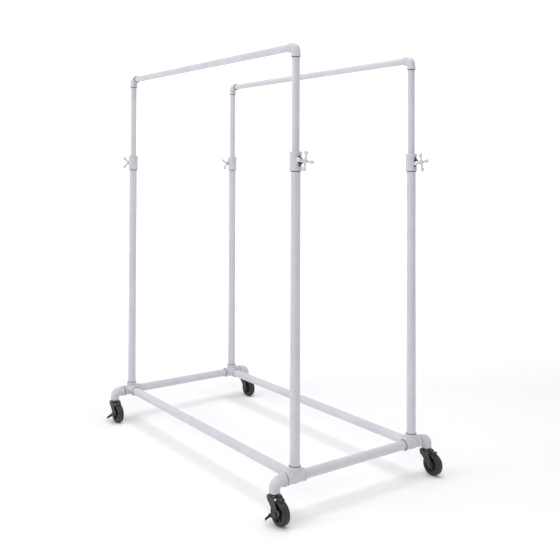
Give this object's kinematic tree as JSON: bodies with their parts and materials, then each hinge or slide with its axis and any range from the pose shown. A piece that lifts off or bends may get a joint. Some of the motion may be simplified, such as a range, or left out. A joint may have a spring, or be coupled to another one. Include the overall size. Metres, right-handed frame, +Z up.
{
  "type": "rolling garment rack",
  "caption": "Rolling double-rail garment rack: rectangular pipe base on swivel casters, with two height-adjustable hang rails held by cross-handled clamp screws.",
  "frame": {"origin": "on the floor, centred between the four posts", "axes": "+X along the hang rails to the right, +Y to the back, +Z up; the braked casters are at the front, at -Y"},
  "size_m": [1.305, 0.7386, 1.4913],
  "materials": {
    "coated_tube": "satin white powder coat on steel tube",
    "coated_casting": "satin white powder coat on cast iron fittings",
    "coated_handle": "gloss white enamel on cast handles",
    "zinc_hardware": "bright zinc plate",
    "black_steel": "semi-gloss black coat on pressed steel",
    "black_tread": "smooth black hard rubber",
    "nylon": "moulded nylon",
    "brass": "turned brass"
  },
  "bodies": {
    "base": {"front_base_rail": "coated_tube", "back_base_rail": "coated_tube", "left_base_rail": "coated_tube", "right_base_rail": "coated_tube", "foot_nipples": "zinc_hardware", "caster_stems": "zinc_hardware", "swivel_races": "black_steel", "guide_sleeves": "nylon", "front_left_tee": "coated_casting", "front_left_foot_elbow": "coated_casting", "front_left_lower_post": "coated_tube", "front_left_coupling": "coated_casting", "front_right_tee": "coated_casting", "front_right_foot_elbow": "coated_casting", "front_right_lower_post": "coated_tube", "front_right_coupling": "coated_casting", "back_left_tee": "coated_casting", "back_left_foot_elbow": "coated_casting", "back_left_lower_post": "coated_tube", "back_left_coupling": "coated_casting", "back_right_tee": "coated_casting", "back_right_foot_elbow": "coated_casting", "back_right_lower_post": "coated_tube", "back_right_coupling": "coated_casting"},
    "front_frame": {"front_hang_rail": "coated_tube", "front_left_upper_post": "coated_tube", "front_left_top_elbow": "coated_casting", "front_right_upper_post": "coated_tube", "front_right_top_elbow": "coated_casting"},
    "back_frame": {"back_hang_rail": "coated_tube", "back_left_upper_post": "coated_tube", "back_left_top_elbow": "coated_casting", "back_right_upper_post": "coated_tube", "back_right_top_elbow": "coated_casting"},
    "front_left_pad": {"front_left_clamp_pad": "brass"},
    "front_left_knob": {"front_left_clamp_screw": "zinc_hardware", "front_left_handle": "coated_handle"},
    "front_left_swivel": {"front_left_fork": "black_steel", "front_left_axle": "black_steel"},
    "front_left_roller": {"front_left_wheel": "black_tread"},
    "front_right_pad": {"front_right_clamp_pad": "brass"},
    "front_right_knob": {"front_right_clamp_screw": "zinc_hardware", "front_right_handle": "coated_handle"},
    "front_right_swivel": {"front_right_fork": "black_steel", "front_right_axle": "black_steel"},
    "front_right_roller": {"front_right_wheel": "black_tread"},
    "back_left_pad": {"back_left_clamp_pad": "brass"},
    "back_left_knob": {"back_left_clamp_screw": "zinc_hardware", "back_left_handle": "coated_handle"},
    "back_left_swivel": {"back_left_fork": "black_steel", "back_left_axle": "black_steel"},
    "back_left_roller": {"back_left_wheel": "black_tread"},
    "back_right_pad": {"back_right_clamp_pad": "brass"},
    "back_right_knob": {"back_right_clamp_screw": "zinc_hardware", "back_right_handle": "coated_handle"},
    "back_right_swivel": {"back_right_fork": "black_steel", "back_right_axle": "black_steel"},
    "back_right_roller": {"back_right_wheel": "black_tread"},
    "front_left_pedal": {"front_left_brake": "black_steel"},
    "front_right_pedal": {"front_right_brake": "black_steel"}
  },
  "joints": [
    {"name": "front_height", "type": "slide", "parent": "base", "child": "front_frame", "axis": [0, 0, 1], "range_m": [-0.29, 0.35]},
    {"name": "back_height", "type": "slide", "parent": "base", "child": "back_frame", "axis": [0, 0, 1], "range_m": [-0.29, 0.35]},
    {"name": "front_left_pad_travel", "type": "slide", "parent": "base", "child": "front_left_pad", "axis": [-1, 0, 0], "range_m": [0, 0.003]},
    {"name": "front_left_clamp_turn", "type": "hinge", "parent": "front_left_pad", "child": "front_left_knob", "pos_m": [-0.639, -0.258, 1.112], "axis": [-1, 0, 0], "range_deg": [0, 720]},
    {"name": "front_right_pad_travel", "type": "slide", "parent": "base", "child": "front_right_pad", "axis": [1, 0, 0], "range_m": [0, 0.003]},
    {"name": "front_right_clamp_turn", "type": "hinge", "parent": "front_right_pad", "child": "front_right_knob", "pos_m": [0.639, -0.258, 1.112], "axis": [1, 0, 0], "range_deg": [0, 720]},
    {"name": "back_left_pad_travel", "type": "slide", "parent": "base", "child": "back_left_pad", "axis": [-1, 0, 0], "range_m": [0, 0.003]},
    {"name": "back_left_clamp_turn", "type": "hinge", "parent": "back_left_pad", "child": "back_left_knob", "pos_m": [-0.639, 0.258, 1.112], "axis": [-1, 0, 0], "range_deg": [0, 720]},
    {"name": "back_right_pad_travel", "type": "slide", "parent": "base", "child": "back_right_pad", "axis": [1, 0, 0], "range_m": [0, 0.003]},
    {"name": "back_right_clamp_turn", "type": "hinge", "parent": "back_right_pad", "child": "back_right_knob", "pos_m": [0.639, 0.258, 1.112], "axis": [1, 0, 0], "range_deg": [0, 720]},
    {"name": "front_left_caster_swivel", "type": "hinge", "parent": "base", "child": "front_left_swivel", "pos_m": [-0.59, -0.336, 0.085], "axis": [0, 0, 1], "continuous": true},
    {"name": "front_left_wheel_roll", "type": "hinge", "parent": "front_left_swivel", "child": "front_left_roller", "pos_m": [-0.56, -0.336, 0.038], "axis": [0, 1, 0], "continuous": true},
    {"name": "front_right_caster_swivel", "type": "hinge", "parent": "base", "child": "front_right_swivel", "pos_m": [0.59, -0.336, 0.085], "axis": [0, 0, 1], "continuous": true},
    {"name": "front_right_wheel_roll", "type": "hinge", "parent": "front_right_swivel", "child": "front_right_roller", "pos_m": [0.62, -0.336, 0.038], "axis": [0, 1, 0], "continuous": true},
    {"name": "back_left_caster_swivel", "type": "hinge", "parent": "base", "child": "back_left_swivel", "pos_m": [-0.59, 0.336, 0.085], "axis": [0, 0, 1], "continuous": true},
    {"name": "back_left_wheel_roll", "type": "hinge", "parent": "back_left_swivel", "child": "back_left_roller", "pos_m": [-0.56, 0.336, 0.038], "axis": [0, 1, 0], "continuous": true},
    {"name": "back_right_caster_swivel", "type": "hinge", "parent": "base", "child": "back_right_swivel", "pos_m": [0.59, 0.336, 0.085], "axis": [0, 0, 1], "continuous": true},
    {"name": "back_right_wheel_roll", "type": "hinge", "parent": "back_right_swivel", "child": "back_right_roller", "pos_m": [0.62, 0.336, 0.038], "axis": [0, 1, 0], "continuous": true},
    {"name": "front_left_brake_press", "type": "hinge", "parent": "front_left_swivel", "child": "front_left_pedal", "pos_m": [-0.56, -0.3545, 0.038], "axis": [0, 1, 0], "range_deg": [-28, 0]},
    {"name": "front_right_brake_press", "type": "hinge", "parent": "front_right_swivel", "child": "front_right_pedal", "pos_m": [0.62, -0.3545, 0.038], "axis": [0, 1, 0], "range_deg": [-28, 0]}
  ],
  "couplings": [
    {"joint": "front_left_pad_travel", "follows": "front_left_clamp_turn", "m_per_rad": 0.00023873},
    {"joint": "front_right_pad_travel", "follows": "front_right_clamp_turn", "m_per_rad": 0.00023873},
    {"joint": "back_left_pad_travel", "follows": "back_left_clamp_turn", "m_per_rad": 0.00023873},
    {"joint": "back_right_pad_travel", "follows": "back_right_clamp_turn", "m_per_rad": 0.00023873}
  ]
}
